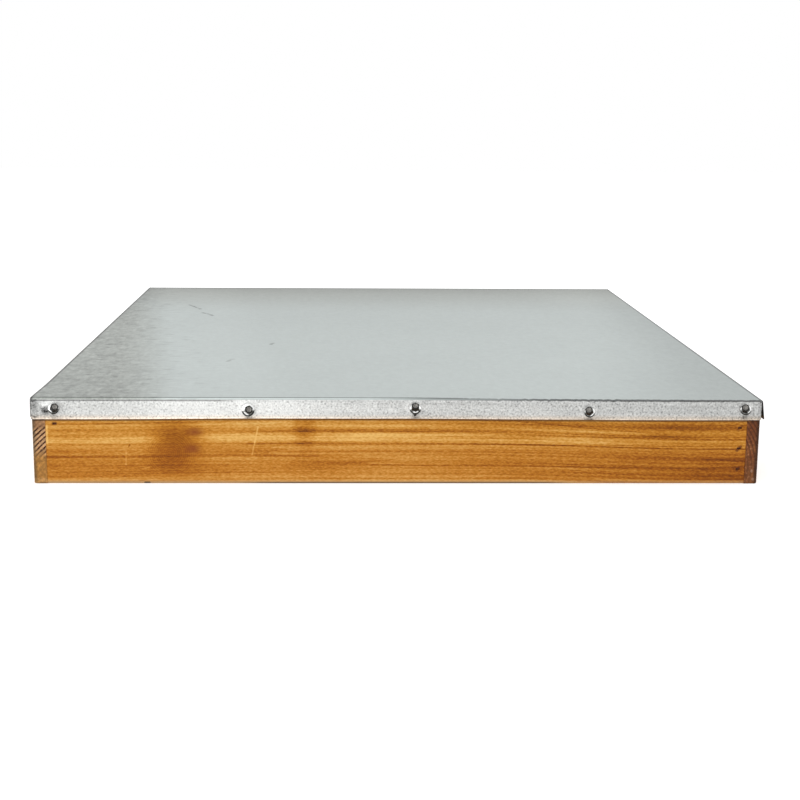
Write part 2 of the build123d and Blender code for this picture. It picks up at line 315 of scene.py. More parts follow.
# How far the side skirts stand off, and the right one's front end, which has sprung out
SIDE_PUSH = 0.18 * MM
FLARE_RUN = 48 * MM
FLARE_REACH = 1.25 * MM
FLARE_CURVE = 1.3
FLARE_DROP = 0.6 * MM

# The front fold is slack at the left. Half of the slack ends right of the middle, half at the right end
SLACK_ENDS = (80 * MM, 240 * MM)
SLACK_DEPTH = 2.0 * MM
SLACK_RISE = 1.0 * MM
CREST_RUN = 60 * MM

# Dent in the front skirt, by its left screw
DENT = (-0.2210, 0.0496)
DENT_REACH = 4.2 * MM
DENT_RISE = 1.2 * MM


# Wood

FIR = [
    (0.0, srgb(246, 196, 112)),
    (0.3, srgb(221, 158, 70)),
    (0.5, srgb(200, 131, 38)),
    (0.75, srgb(160, 92, 12)),
    (1.0, srgb(108, 54, 4)),
]
STAIN = srgb(100, 46, 18)
STAIN_REACH = 1.5 * MM

# Smears of rust from the nails: run across, rise and strength
LEVEL_SMEAR = ((1.4 * MM, 0.1 * MM, 1.0),)
SLANTING_SMEARS = (
    (1.2 * MM, 1.2 * MM, 1.0),
    (2.2 * MM, 2.4 * MM, 1.0),
    (2.0 * MM, 2.4 * MM, 0.55),
)

# The front board's pale streak, which sinks toward both ends
STREAK_HEIGHT = 30.2 * MM
RIGHT_SINK = 3.4 * MM
LEFT_SINK = 1.6 * MM

# Marks on the front board: a healed knot, patches with reach, core and depth (the second a painted shadow
# under the skirt's lip), and lines with depth
KNOT = (-0.1395, 0.0250)
KNOT_EYE = (-0.1440, 0.0200)
KNOT_HEARTS = ((-0.1279, 0.0336), (-0.1294, 0.0226))
DARK_PATCHES = (
    ((-0.1500, 0.0180), (20 * MM, 11 * MM), 0.1, 0.07),
    # Painted shadow under the skirt's lip
    ((-0.0588, 0.0410), (8 * MM, 21 * MM), 0.35, 0.24),
)
PALE_JOINT = ((-0.2207, 0.0376), (-0.2207, 0.0264))
BOARD_LINES = (
    ((-0.0883, 0.0368), (-0.0923, 0.0187), -0.3),
    ((-0.1714, 0.0211), (-0.1718, 0.0122), -0.2),
    ((-0.1612, 0.0096), (-0.1573, 0.0109), -0.25),
    ((-0.1698, 0.0240), (-0.1690, 0.0252), 0.45),
)
NOTCH = ((-0.1600, 0.0008), (-0.1572, 0.0008))

# Pale specks low on the right end grain
END_SPECKS = ((0.2261, 0.0084), (0.2272, 0.0030))


def late_wood(radius, ring):
    """Dark late wood of each ring, which ends sharply."""
    saw = (radius / ring).fraction()
    return saw.step(0.3, 0.93) * saw.step(1.0, 0.95)


def waxed(graph, colour, fibres, late):
    """Sawn and waxed surface of a board."""
    return graph.surface(colour, 0.45 + fibres * 0.3, fibres + late * 0.4, 0.1 * MM,
                         Specular_IOR_Level=0.2)


def rusted(graph, colour, along, stains, hold, most):
    """Adds the nails' rust, which holds on the fibres."""
    for start, end, strength in stains:
        smear = graph.stroke(along, graph.z, start, end, STAIN_REACH) * strength
        colour = graph.mix((smear * hold).at_most(most), colour, STAIN)
    return colour


def softwood(name, along, seed, pith, ring=3.2 * MM, dark=0.45, ends=None, stains=()):
    """Waxed fir: rings round a pith line along x or y, fibres, clouds of colour and end grain."""
    graph = Graph(name)
    if along == "x":
        run, cross, end_face = graph.x, graph.y, abs(graph.facing[0])
        fine, wide, slow = (20, 500, 500), (5, 60, 60), (2.5, 22, 22)
    else:
        run, cross, end_face = graph.y, graph.x, abs(graph.facing[1])
        fine, wide, slow = (500, 20, 500), (60, 5, 60), (22, 2.5, 22)
    fibres = graph.noise(fine, seed, detail=4.0, roughness=0.62)
    clouds = graph.noise(wide, seed)
    wander = graph.noise(slow, seed) - 0.5
    radius = ((cross - pith[0]) ** 2 + (graph.z - pith[1]) ** 2).root() + wander * (5 * MM)
    late = late_wood(radius, ring)
    shade = dark - 0.1 + late * 0.25 + (0.5 - fibres) + (0.5 - clouds) * 0.5
    colour = rusted(graph, graph.ramp(shade, FIR), run, stains, 0.2 + fibres * 1.3, 0.95)
    if ends:
        colour = graph.mix(end_face.step(0.15, 0.5), colour, ends(graph, late, fibres))
    return waxed(graph, colour, fibres, late)


def left_end(graph, late, fibres):
    """Pale end grain with hard, uneven rings in its upper half, browner above and below them; painted
    shade darkens its edges and under the lip.
    """
    x, z = graph.x, graph.z
    blots = graph.noise((420, 2, 420), 15.0)
    uneven = graph.noise((110, 2, 330), 18.0, detail=1.0)
    ringed = z.step(15 * MM, 23 * MM) * z.step(39.5 * MM, 35 * MM)
    rings = late.step(uneven - 0.4, uneven + 0.05) * (0.14 + ringed * 0.86) * blots.step(0.25, 0.5)
    colour = graph.mix(z.step(15 * MM, 26 * MM), srgb(178, 127, 64), srgb(204, 160, 116))
    colour = graph.mix(z.step(33 * MM, 37 * MM) * 0.55, colour, srgb(130, 84, 52))
    colour = graph.mix(rings, colour, srgb(58, 24, 6))
    colour = graph.mix(z.step(4.5 * MM, 2.5 * MM) * 0.5, colour, srgb(222, 172, 110))
    # Painted shade: the outer and the lower edge of the end grain are darkened as if in shadow.
    edge = (x + HALF_WIDTH).step(4.2 * MM, 2.2 * MM).at_least(z.step(1.4 * MM, 0.5 * MM))
    colour = graph.mix(edge * 0.6, colour, srgb(84, 72, 50))
    lip_shadow = z.step(END_FOOT - 1.4 * MM, END_FOOT - 0.7 * MM)
    colour = graph.mix(lip_shadow * 0.7, colour, srgb(40, 22, 10))
    return graph.shade(colour, fibres * 1.4 + blots * 1.6 - 0.5)


def right_end(graph, late, fibres):
    """Reddish end grain with soft rings and pale specks; painted shade darkens its outer edge and under
    the lip.
    """
    x, z = graph.x, graph.z
    blots = graph.noise((700, 2, 700), 16.0)
    red = graph.noise((160, 2, 70), 17.0)
    colour = graph.mix(red.step(0.4, 0.6), srgb(148, 93, 52), srgb(124, 70, 37))
    colour = graph.mix(late * (0.35 + z.step(4 * MM, 28 * MM) * 0.33), colour, srgb(60, 28, 15))
    specks = blots.step(0.56, 0.72) * z.step(36 * MM, 24 * MM)
    colour = graph.mix(specks * 0.4, colour, srgb(182, 132, 98))
    for place in END_SPECKS:
        pale = graph.patch(x, z, place, (1.1 * MM, 1.4 * MM)).step(1.0, 0.4)
        colour = graph.mix(pale * fibres, colour, srgb(206, 166, 140))
    # Painted shade: the rounded outer edge and the wood under the lip are darkened as if in shadow.
    lip_shadow = z.step(END_FOOT - 3 * MM, END_FOOT) * 0.7
    edge = (HALF_WIDTH - x).step(4.4 * MM, 2.6 * MM).at_least(lip_shadow)
    colour = graph.mix(edge * 0.75, colour, srgb(44, 26, 12))
    return graph.shade(colour, (fibres * 0.9 + blots) * (1.0 - z.step(20 * MM, 10 * MM) * 0.14))


class FrontGraph(Graph):
    """Nodes of the front board, whose noises run along its pale streak."""

    def __init__(self, name):
        super().__init__(name)
        x, z = self.x, self.z
        sink = x.step(0.05, 0.2) * RIGHT_SINK + x.step(-0.05, -0.215) * LEFT_SINK
        self.slow = self.noise((5, 0, 40), detail=1.0) - 0.5
        self.level = z - STREAK_HEIGHT + sink + self.slow * (1.6 * MM)
        flow = {0: x, 1: self.level + (self.y + HALF_LENGTH)}
        self.place = self.add("ShaderNodeCombineXYZ", flow).outputs[0]
        self.fibres = self.noise((4, 640, 1), 1.0)
        self.rags = self.noise((10, 330, 1), 4.0)
        self.whirl = self.around(KNOT, 19 * MM).step(1.35, 0.15)
        self.outside = self.facing[1].step(0.0, -0.35)
        self.under_lip = z - x.band(BOW_PLACE, BOW_CORE, BOW_RUN) * FOOT_BOW

    def around(self, centre, reach):
        """Wavering distance from a centre on the face, counted in its reach."""
        return self.patch(self.x, self.z, centre, (reach, reach)) + self.slow * 0.5


def streak_lines(board):
    """Dark lines above and below the pale streak."""
    right = board.x.step(-0.11, -0.09)
    above = board.level.band(3.7 * MM, 0.1 * MM, 0.6 * MM) * right * 0.45
    below = board.level.band(-4.0 * MM, 0.1 * MM, 0.6 * MM) * right
    return below.at_least(above)


def front_grain(board, lines):
    """How dark the grain is: fibres, bands, veins and pores, the streak between its lines, the healed
    knot, and a painted fall-off of the light toward the right."""
    x, level, rags, whirl = board.x, board.level, board.rags, board.whirl
    pores = board.noise((500, 1300, 1), 7.0, detail=1.0)
    bands = board.noise((2.5, 190, 1), 2.0, roughness=0.55)
    veins = board.noise((1.8, 110, 1), 8.0, detail=1.0)
    clouds = board.noise((14, 60, 1), 3.0)
    grain = (0.5 - board.fibres) * 0.8 + (0.5 - bands) * 0.9
    grain += (veins * 4.0).fraction().step(0.8, 0.98) * 0.18
    shade = 0.42 + grain * (1.0 - whirl * 0.5) + (0.5 - clouds) * 0.35
    shade += (0.5 - pores) * (0.7 - whirl * 0.35)
    far_left = x.step(-0.13, -0.17)
    streak = abs(level).step(3.6 * MM, 2.0 * MM - far_left * (1.2 * MM)) * (1.0 - whirl)
    strength = 0.31 - x.step(0.1, 0.18) * 0.16 - far_left * 0.1
    shade -= streak * rags.step(0.2, 0.6) * strength
    shade += lines * rags.step(0.3, 0.5) * 0.34
    # Darker below the streak; the extra darkening toward the right, here and on the next line, and the
    # lighter far left are painted fall-off of the light from the left.
    shade += level.step(-2 * MM, -9 * MM) * (0.06 + x.step(0.05, 0.2) * 0.08)
    shade += x.step(0.06, 0.19) * 0.12 - x.step(-0.15, -0.18) * 0.05
    shade += x.band(0.085, 15 * MM, 40 * MM) * 0.04 - x.band(-0.085, 10 * MM, 20 * MM) * 0.05
    eye = board.around(KNOT_EYE, 10 * MM)
    rings = ((eye * 8.0).fraction() - 0.5) * eye.step(1.9, 1.2)
    return shade + whirl * 0.33 + rings * 0.14


def front_marks(board, shade):
    """Adds dark patches, one a painted shadow, thin lines, the paler wood at the joint, a painted
    reflection on the foot and painted light under the lip.
    """
    x, z = board.x, board.z
    for place, reach, core, depth in DARK_PATCHES:
        shade += board.patch(x, z, place, reach).step(1.2, core) * depth
    shade -= board.stroke(x, z, *PALE_JOINT, 1.1 * MM) * 0.36
    for start, end, depth in BOARD_LINES:
        shade += board.stroke(x, z, start, end, 0.7 * MM) * board.rags.step(0.2, 0.5) * depth
    # Painted reflection: the rounded foot is paler as if it mirrored the pale floor.
    shade -= z.step(3.6 * MM, 2.2 * MM) * (board.fibres * 0.35) * board.outside
    # Painted light: the wood just under the lip, toward the right, is lightened.
    pale_top = board.under_lip.step(END_FOOT - 4 * MM, END_FOOT - 2 * MM)
    return shade - pale_top * x.step(0.0, 0.06) * 0.1


def front_wear_and_shade(board, colour):
    """Adds the reddish lower half, a painted reflection of the floor on the foot with a painted contact
    shadow along its lowest edge, the lip's painted shadow, a notch and the red hearts of the knot."""
    x, z = board.x, board.z
    colour = board.mix(board.level.step(-1 * MM, -8 * MM) * 0.12, colour, srgb(184, 96, 36))
    # worn holds a painted reflection: the rounded foot is paler as if it mirrored the pale floor.
    worn = z.step(2.8 * MM, 0.8 * MM) * board.outside * (0.8 - x.step(0.08, 0.13) * 0.35)
    colour = board.mix(worn, colour, srgb(200, 168, 122))
    # Painted contact shadow: a dark line along the lowest edge of the face.
    foot_shadow = z.step(1.25 * MM, 0.75 * MM) * x.band(0.005, 85 * MM, 25 * MM) * board.outside
    colour = board.mix(foot_shadow * 0.85, colour, srgb(84, 64, 34))
    lip_shadow = board.under_lip.step(END_FOOT - 1.4 * MM, END_FOOT - 0.9 * MM)
    colour = board.mix(lip_shadow * 0.75, colour, srgb(102, 70, 42))
    colour = board.mix(board.stroke(x, z, *NOTCH, 0.9 * MM) * 0.9, colour, srgb(58, 38, 14))
    for place in KNOT_HEARTS:
        heart = board.patch(x, z, place, (8 * MM, 4.5 * MM)).step(1.0, 0.0)
        colour = board.mix(heart * 0.6, colour, srgb(124, 50, 28))
    return colour


def front_wood(name, stains):
    """The front board's own figure, marks, wear, rust and painted light and shade."""
    board = FrontGraph(name)
    lines = streak_lines(board)
    shade = front_marks(board, front_grain(board, lines))
    colour = front_wear_and_shade(board, board.ramp(shade, FIR))
    colour = rusted(board, colour, board.x, stains, 0.3 + board.fibres, 0.85)
    return waxed(board, colour, board.fibres, lines)


def dress(name, material):
    """Gives a CAD node one material."""
    mesh = nodes[name].data
    mesh.materials.clear()
    mesh.materials.append(material)


def nail_stains(name, axis, smears):
    """Rust that has crept along the fibres from the nails driven along one axis (0 or 1): the ends of
    each smear, across and up, and its strength."""
    stains = []
    for points in islands(name):
        low = Vector(min(p[i] for p in points) for i in range(3))
        high = Vector(max(p[i] for p in points) for i in range(3))
        if (high - low)[axis] == max(high - low):
            run, rise, strength = smears[len(stains) % len(smears)]
            middle = Vector((low[1 - axis] + high[1 - axis], low.z + high.z)) / 2
            half = Vector((run, rise)) / 2
            stains.append((middle - half, middle + half, strength))
    return stains


def board_stains(axis, first, second):
    """Rust from the nails at the two corners of a board."""
    return (nail_stains(f"{first}_corner_nails", axis, LEVEL_SMEAR)
            + nail_stains(f"{second}_corner_nails", axis, SLANTING_SMEARS))


front_nails = board_stains(1, "front_left", "front_right")
back_nails = board_stains(1, "back_left", "back_right")
left_nails = board_stains(0, "front_left", "back_left")

dress("front_board", front_wood("front_fir", front_nails))
dress("back_board", softwood("back_fir", "x", seed=5.0, pith=(0.31, -0.05), stains=back_nails))
dress("left_board", softwood("left_fir", "y", seed=8.0, pith=(-0.160, -0.040), ring=2.3 * MM,
                             dark=0.5, ends=left_end, stains=left_nails))
dress("right_board", softwood("right_fir", "y", seed=11.0, pith=(0.190, 0.012), ring=2.3 * MM,
                              dark=0.55, ends=right_end))

# The roof boards lie with their heart side down and up in turn
for index in range(1, 6):
    low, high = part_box(f"roof_board_{index}")
    side = -1 if index % 2 else 1
    pith = ((low.x + high.x) / 2 + side * 12 * MM, low.z + side * 60 * MM)
    dark = 0.28 + 0.06 * (index * 2 % 3)
    dress(f"roof_board_{index}",
          softwood(f"roof_fir_{index}", "y", 20.0 + index, pith, ring=3.6 * MM, dark=dark))
for index, name in enumerate(("front_batten", "back_batten")):
    pith = (-0.05 + 0.1 * index, -0.02)
    dress(name, softwood(f"{name}_fir", "x", 40.0 + index, pith, ring=3.0 * MM, dark=0.38))


# Steel

# Lines on the top that dragging has left, each with its depth
SCRATCHES = (
    ((-0.176, 0.148), (-0.164, 0.121), 0.5),
    ((-0.160, 0.099), (-0.149, 0.082), 0.5),
    ((-0.222, 0.112), (-0.210, 0.118), 0.4),
    ((-0.200, 0.063), (-0.193, 0.061), 0.35),
    ((-0.214, -0.121), (-0.204, -0.121), 0.4),
    ((-0.118, -0.145), (-0.115, -0.135), 0.25),
    ((-0.091, -0.070), (-0.089, -0.064), 0.4),
    ((-0.197, 0.010), (-0.190, 0.012), 0.3),
)

# Slanting lines that bound the dull sides of the top: x halfway along and slope
DULL_LEFT = (-0.2009, -0.1403)
DULL_RIGHT = (0.1749, 0.1714)

# Painted shade about the dent: shift from it, reach and depth
DENT_SHADES = (
    ((0.9 * MM, -1.6 * MM), (4.6 * MM, 3.6 * MM), 0.55),
    ((0.6 * MM, -3.6 * MM), (4.4 * MM, 3.0 * MM), 0.35),
)

# Rows of points down an end skirt as shares of its height, close together at its lip
SKIRT_ROWS = (0, 0.06, 0.14, 0.24, 0.34, 0.44, 0.54, 0.64, 0.74, 0.82, 0.88, 0.92, 0.945, 0.96, 0.973,
              0.986, 1)


def nail_iron():
    """Browned nail wire."""
    graph = Graph("nail_iron")
    rust = graph.noise((900, 900, 900), detail=3.0)
    colour = graph.mix(rust.step(0.35, 0.7), srgb(92, 46, 26), srgb(140, 84, 54))
    return graph.surface(colour, 0.55 + rust * 0.3, rust, 0.05 * MM, Metallic=0.3)


iron = nail_iron()
for name in nodes:
    if name.endswith("nails"):
        dress(name, iron)


class SheetGraph(Graph):
    """Nodes of the sheet, with the ways in from its four edges and the noises that its tones share."""

    def __init__(self, name):
        super().__init__(name)
        self.left_in = self.x + HALF_WIDTH
        self.right_in = HALF_WIDTH - self.x
        self.front_in = self.y + HALF_LENGTH
        self.back_in = HALF_LENGTH - self.y
        self.speckle = self.noise((820, 820, 820), detail=1.5, roughness=0.6)
        self.spangle = self.cells((300, 300, 300))
        self.clouds = self.noise((9, 9, 9), 5.0, detail=3.0)
        self.scuffs = self.noise((260, 130, 1), 6.0, detail=3.0, roughness=0.65)
        # Painted shade: the top darkens toward the back.
        self.back_shade = self.back_in.step(190 * MM, 5 * MM)
        self.worn = self.right_of(DULL_LEFT).step(30 * MM, -18 * MM)

    def right_of(self, line):
        """How far right of a slanting line on the top a place lies."""
        return self.x - line[0] - self.y * line[1]


def top_tone(sheet):
    """Brightness of the top, with painted shade toward the back, dull along the sides and scratched at
    the left.
    """
    x, y = sheet.x, sheet.y
    right_in, back_in = sheet.right_in, sheet.back_in
    dull_left, dull_right = sheet.right_of(DULL_LEFT), sheet.right_of(DULL_RIGHT)
    hairs = sheet.noise((70, 230, 1), 12.0, roughness=0.6)
    tone = 0.82 + (sheet.clouds - 0.5) * 0.06 + (sheet.spangle - 0.5) * 0.03
    tone += (sheet.speckle - 0.5) * 0.05 + (sheet.scuffs - 0.5) * (0.14 + sheet.worn * 0.6)
    scratched = hairs.step(0.42, 0.3) * 0.09 - hairs.step(0.57, 0.68) * 0.16
    tone += scratched * dull_left.step(75 * MM, 10 * MM)
    # Painted shade toward the back, on this line and the next.
    tone -= sheet.back_shade * 0.22 + back_in.step(70 * MM, 5 * MM) * 0.08
    tone -= back_in.step(420 * MM, 130 * MM) * 0.06
    tone += back_in.step(150 * MM, 60 * MM) * right_in.step(120 * MM, 20 * MM) * 0.08
    tone -= sheet.worn * (0.23 + sheet.front_in.step(190 * MM, 20 * MM) * 0.05)
    tone -= dull_right.step(-20 * MM, 80 * MM) * 0.15 + right_in.step(60 * MM, 5 * MM) * 0.04
    tone += dull_left.band(50 * MM, 15 * MM, 45 * MM) * 0.04
    shaky = x + (hairs - 0.5) * (6 * MM)
    for start, end, depth in SCRATCHES:
        line = sheet.stroke(shaky, y, start, end, 2.0 * MM)
        tone -= line * sheet.scuffs.step(0.3, 0.6) * depth
    return tone


def skirt_tone(sheet, front_screws, back_screws):
    """Brightness of the skirts: speckle, rolling streaks and darker left ends, with painted light and
    shade: fall-off, highlights, the right turn, facing, shadows under the screws and about the dent."""
    x, z, upward = sheet.x, sheet.z, sheet.facing[2]
    left_in, right_in, front_in = sheet.left_in, sheet.right_in, sheet.front_in
    rolled = sheet.noise((7, 7, 420), 9.0)
    tone = 0.96 + (sheet.speckle - 0.5) * 1.2 - sheet.speckle.step(0.42, 0.3) * 0.20
    tone += (sheet.spangle - 0.5) * 0.10 + (sheet.clouds - 0.5) * 0.12 + (rolled - 0.5) * 0.3
    # Painted fall-off of the light: the skirts darken toward the right.
    tone -= x.step(-0.03, 0.055) * 0.11 + x.step(0.09, 0.2) * 0.10
    # Painted highlight: a lamp's reflection on the skirt left of the middle.
    tone += x.band(-0.106, 20 * MM, 55 * MM) * 0.27
    # Darker near the left end, where the skirt turns round the corner.
    left_end_dark = left_in.step(7 * MM, 3.5 * MM) * (0.28 + z.step(46 * MM, 50 * MM) * 0.14)
    left_end_dark += (left_in.step(1.7 * MM, 0.9 * MM) + left_in.step(16 * MM, 9 * MM)) * 0.12
    # Painted light and shade of the turn round the right corner: a lighter band and a darker one nearer
    # the edge.
    right_turn = right_in.band(4.8 * MM, 0.5 * MM, 1.2 * MM) * 0.09
    right_turn -= right_in.band(2.2 * MM, 0.5 * MM, 1.0 * MM) * 0.15
    tone += (right_turn - left_end_dark) * front_in.step(10 * MM, 4 * MM)
    # Painted highlight along the lip toward the right.
    tone += z.step(END_FOOT + 1.1 * MM, END_FOOT + 0.7 * MM) * x.step(0.08, 0.2) * 0.18
    # Painted light and shade by facing: brighter where the sheet faces up, darker where it faces down.
    tone += upward.at_most(0.3).at_least(0.0) * 0.5 + upward.at_most(0.0) * 0.9
    for inward, screws in ((front_in, front_screws), (sheet.back_in, back_screws)):
        outside = inward.step(4 * MM, 1 * MM)
        for place in screws:
            under, above = (place.x, place.z - 4.5 * MM), (place.x - MM, place.z + 1.6 * MM)
            # Painted shadow under each screw, and painted light round it over the dark reflection of its
            # head.
            grime = sheet.patch(x, z, under, (3.2 * MM, 3.2 * MM)).step(1.0, 0.2)
            halo_light = sheet.patch(x, z, above, (7 * MM, 6 * MM)).step(1.0, 0.55)
            tone += (halo_light * 0.28 - grime * 0.35) * outside
    # Painted shade below the dent's bulge.
    for shift, reach, depth in DENT_SHADES:
        centre = (DENT[0] + shift[0], DENT[1] + shift[1])
        dent = sheet.patch(x, z, centre, reach).step(1.0, 0.15)
        tone -= dent * front_in.step(4 * MM, 1 * MM) * depth
    return tone


def fold_tone(sheet):
    """Share of the light that the folds leave: thin dark lines along the front fold, the back and the
    side edges, the slack fold's crease and gleam, and the dark inside of the sprung flap."""
    x, z, front_in = sheet.x, sheet.z, sheet.front_in
    loose = sum(x.step(end, 0.0) * 0.5 for end in SLACK_ENDS)
    behind = front_in - BEND - loose * SLACK_DEPTH
    left_fold = x.step(0.05, -0.02) * 0.2 + x.step(-0.098, -0.114) * 0.48
    left_fold *= z.band(SHEET_TOP - 0.58 * MM, 0.3 * MM, 0.2 * MM)
    ragged = (sheet.noise((320, 3, 3), 13.0) - 0.5) * (1.4 * MM)
    low_edge = z + ragged - x.step(0.16, 0.09) * (0.42 * MM)
    right_fold = low_edge.step(SHEET_TOP - 1.05 * MM, SHEET_TOP - 0.8 * MM)
    right_fold *= (behind + ragged * 4.0).step(0.95 * MM, 0.15 * MM)
    right_fold *= x.step(-0.02, 0.04) * 0.34 + x.step(0.035, 0.105) * 0.42
    fold = left_fold.at_least(right_fold) * front_in.step(8 * MM, 6 * MM)
    brink = sheet.left_in.at_most(sheet.right_in).step(2.7 * MM, 1.6 * MM)
    brink = brink.at_least(sheet.back_in.step(10 * MM, 6 * MM) * 0.36)
    brink *= z.step(SHEET_TOP - 2 * MM, SHEET_TOP - 1 * MM)
    crease = behind.band(-0.55 * MM, 0.45 * MM, 0.4 * MM) * x.step(0.06, 0.03)
    gleam = behind.step(-0.8 * MM, -1.3 * MM) * front_in.step(0.8 * MM, 1.9 * MM) * x.step(0.04, -0.04)
    inside = x.step(END_HALF, END_HALF + 0.2 * MM) * front_in.step(30 * MM, 10 * MM)
    inside *= sheet.facing[0].step(0.6, 0.2)
    tone = (1.0 - fold.at_least(brink * 0.72)) * (1.0 - crease * 0.42 + gleam * 0.55)
    return tone * (1.0 - inside * 0.9)


def zinc(front_screws, back_screws):
    """Dull galvanised steel, with a painted warm reflection of the wood at the foot of its skirts."""
    sheet = SheetGraph("galvanised")
    top = sheet.facing[2].step(0.75, 0.92)
    skirt = skirt_tone(sheet, front_screws, back_screws)
    tone = (skirt + (top_tone(sheet) - skirt) * top) * fold_tone(sheet)
    # A tint over the worn left side and over the painted shade at the back.
    tarnish_and_back_shade = sheet.worn.at_least(sheet.back_shade)
    bright = sheet.mix(tarnish_and_back_shade, srgb(201, 209, 207), srgb(204, 209, 203))
    colour = sheet.mix(top, srgb(208, 209, 207), bright)
    # Painted reflection: the foot of the skirts is tinted warm as if it mirrored the wood below.
    low = sheet.z.step(END_FOOT + 4.2 * MM, END_FOOT + 0.3 * MM)
    colour = sheet.shade(sheet.mix(low, colour, srgb(214, 200, 184)), tone)
    return sheet.surface(colour, 0.38 + sheet.speckle * 0.16, sheet.speckle + sheet.scuffs * 0.5,
                         0.04 * MM, Metallic=0.55 + top * 0.35)


class Skin:
    """Faces of the sheet's outer side; points at one place are shared."""

    def __init__(self):
        self.points = []
        self.known = {}
        self.faces = []

    def point(self, place):
        key = tuple(round(c, 7) for c in place)
        if key not in self.known:
            self.known[key] = len(self.points)
            self.points.append(place)
        return self.known[key]

    def grid(self, rows, flip=False):
        """Quads between rows of points; where two points of a quad are one, a triangle."""
        ids = [[self.point(p) for p in row] for row in rows]
        for low, high in zip(ids, ids[1:]):
            for a, b, c, d in zip(low, low[1:], high[1:], high):
                face = dict.fromkeys((a, d, c, b) if flip else (a, b, c, d))
                if len(face) > 2:
                    self.faces.append(tuple(face))


def bent(start, corner, end, count=6):
    """Points round a bend."""
    return [start * (1 - t) ** 2 + corner * (2 * t * (1 - t)) + end * t ** 2
            for t in spread(0.0, 1.0, count)]


def slack(x, facing):
    """How loose an end fold is: the front one from 1 at the left to 0 at the right, the back one 0."""
    return sum(0.5 * smooth(end, 0.0, x) for end in SLACK_ENDS) if facing < 0 else 0.0


def fold_depth(x, facing):
    """How far in from an end edge its bend begins."""
    return BEND + SLACK_DEPTH * slack(x, facing)


def dome(x, y):
    """The loose sheet rises a little from the roof boards between its folds."""
    across = smooth(1.0, DOME_WIDTH, abs(x) / HALF_WIDTH)
    along = smooth(1.0, DOME_LENGTH, abs(y) / HALF_LENGTH)
    ripple = perlin.noise(Vector((x * 9, y * 7, 3.0)))
    crest = SLACK_RISE * slack(x, -1) * smooth(CREST_RUN, fold_depth(x, -1), y + HALF_LENGTH)
    return across * along * (DOME_RISE + DOME_RIPPLE * ripple) + crest


def foot_height(x):
    """The cut edge of an end skirt."""
    return END_FOOT + FOOT_LIFT + FOOT_BOW * smooth(BOW_CORE + BOW_RUN, BOW_CORE, abs(x - BOW_PLACE))


def skirt_push(x, z, screws, dented):
    """How far an end skirt stands off between its screws, with a lower lip and perhaps the dent."""
    sink = (SHEET_TOP - z) / (SHEET_TOP - END_FOOT)
    nearest = min(abs(x - s.x) for s in screws)
    loose = smooth(HELD_REACH, LOOSE_REACH, nearest) * smooth(END_HALF, END_HALF - 9 * MM, abs(x))
    ripple = perlin.noise(Vector((x * 22, 5.0, z * 20)))
    push = loose * (LOOSE_PUSH + LOOSE_RIPPLE * ripple) * sink
    push += LIP_PUSH * smooth(LIP_HEIGHT, 0.0, z - foot_height(x))
    if dented:
        push += DENT_RISE * smooth(DENT_REACH, 0.0, math.hypot(x - DENT[0], z - DENT[1]))
    return push


def corner_inset(x):
    """How far the fold's outer face draws back where it turns round a corner."""
    beyond = max(abs(x) - END_REACH, 0.0)
    return TAB_BEND - math.sqrt(TAB_BEND ** 2 - beyond ** 2)


def corner_tab(last, side, facing):
    """Columns of points that carry an end skirt on round its corner, from the skirt's last column."""
    edge = facing * HALF_LENGTH
    centre = Vector((side * END_REACH, edge - facing * TAB_BEND, 0))
    first_angle = math.asin((abs(last[0].x) - END_REACH) / TAB_BEND)
    tab = []
    for angle in spread(first_angle, math.pi / 2, 5)[1:]:
        x = centre.x + side * TAB_BEND * math.sin(angle)
        y = centre.y + facing * TAB_BEND * math.cos(angle)
        tab.append([Vector((x, y, p.z)) for p in last])
    top = last[0].z
    for run in spread(TAB_BEND, TAB_LENGTH, 5)[1:]:
        foot = foot_height(HALF_WIDTH) + TAB_RISE * (run - TAB_BEND) / (TAB_LENGTH - TAB_BEND)
        tab.append([Vector((side * END_HALF, edge - facing * run, top + (foot - top) * share))
                    for share in SKIRT_ROWS])
    return tab


def end_fold(skin, columns, facing, screws):
    """Bend, skirt and corner tabs at the front (-1) or back (+1); gives back the bend's two ends."""
    edge = facing * HALF_LENGTH
    bends = []
    skirt = []
    for x in columns:
        crest = SLACK_RISE * slack(x, facing)
        start = Vector((x, edge - facing * fold_depth(x, facing), SHEET_TOP + crest))
        face = edge - facing * corner_inset(x)
        turn = Vector((x, face - facing * TURN_DEPTH, SHEET_TOP + 0.1 * crest))
        end = Vector((x, face, SHEET_TOP - TURN_DROP))
        bends.append([start, start.lerp(turn, 0.5)] + bent(turn, Vector((x, face, SHEET_TOP)), end))
        skirt.append([])
        for share in SKIRT_ROWS:
            z = end.z + (foot_height(x) - end.z) * share
            push = skirt_push(x, z, screws, dented=facing < 0) * smooth(0.0, 0.12, share)
            skirt[-1].append(Vector((x, face + facing * push, z)))
    skin.grid(bends, flip=facing > 0)
    left_tab = corner_tab(skirt[0], -1, facing)
    right_tab = corner_tab(skirt[-1], 1, facing)
    skin.grid(left_tab[::-1] + skirt + right_tab, flip=facing > 0)
    return bends[0], bends[-1]


